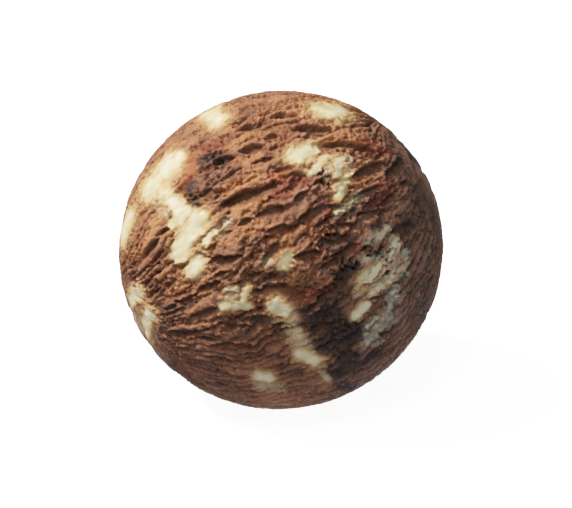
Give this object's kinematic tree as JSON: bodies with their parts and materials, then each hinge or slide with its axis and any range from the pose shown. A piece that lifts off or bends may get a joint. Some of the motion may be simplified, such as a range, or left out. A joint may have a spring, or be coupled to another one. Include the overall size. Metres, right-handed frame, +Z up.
{
  "type": "gelato scoop",
  "caption": "Round scooped ball of chocolate gelato marbled with cream and cherry, with torn ridges left by the scoop and a small flat spot to rest on.",
  "frame": {"origin": "centre of the flat spot the ball rests on, straight below the ball's middle", "axes": "+Z up, -Y towards the shown side, +X to the right of the shown side"},
  "size_m": [0.0563, 0.0552, 0.0543],
  "materials": {
    "gelato": "soft matte chocolate gelato with cream white and dark cherry marbling"
  },
  "bodies": {
    "root": {"gelato_scoop": "gelato"}
  },
  "joints": []
}
